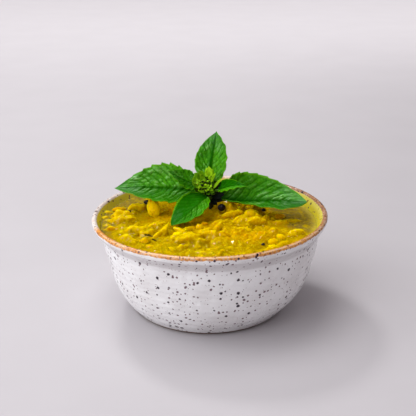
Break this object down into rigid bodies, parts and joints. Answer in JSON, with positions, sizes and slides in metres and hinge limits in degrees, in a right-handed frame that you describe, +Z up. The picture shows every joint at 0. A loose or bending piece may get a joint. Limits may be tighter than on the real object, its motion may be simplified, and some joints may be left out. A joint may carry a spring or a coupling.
{
  "type": "bowl of dal with a basil sprig",
  "caption": "Round stoneware bowl with a flared collar, filled with chunky yellow dal in a clear broth and topped with a leafy basil sprig and its buds",
  "frame": {"origin": "centre of the bowl's foot, on the surface that it stands on; midway between the bowl's sides, which the sprig doesn't pass", "axes": "+Z up out of the bowl; -Y is the front, where the diner sits; +X to the diner's right, towards the side where the rim stands about 2.6 mm higher"},
  "size_m": [0.13, 0.13, 0.0916],
  "materials": {
    "speckled_glaze": "glossy white stoneware glaze with dark iron specks, tan where it is thin on the lip",
    "dal": "wet, soft yellow split chickpeas in a clear golden broth",
    "basil_stem": "dull green stalk",
    "basil_buds": "matte yellow-green buds",
    "basil_leaf": "satin, quilted leaf with pale veins"
  },
  "bodies": {
    "root": {"bowl": "speckled_glaze", "dal": "dal", "basil_stem": "basil_stem", "basil_bud_cluster": "basil_buds", "basil_leaf_left": "basil_leaf", "basil_leaf_right": "basil_leaf", "basil_leaf_back": "basil_leaf", "basil_leaf_front": "basil_leaf", "basil_leaf_inner_left": "basil_leaf", "basil_leaf_inner_right": "basil_leaf"}
  },
  "joints": []
}
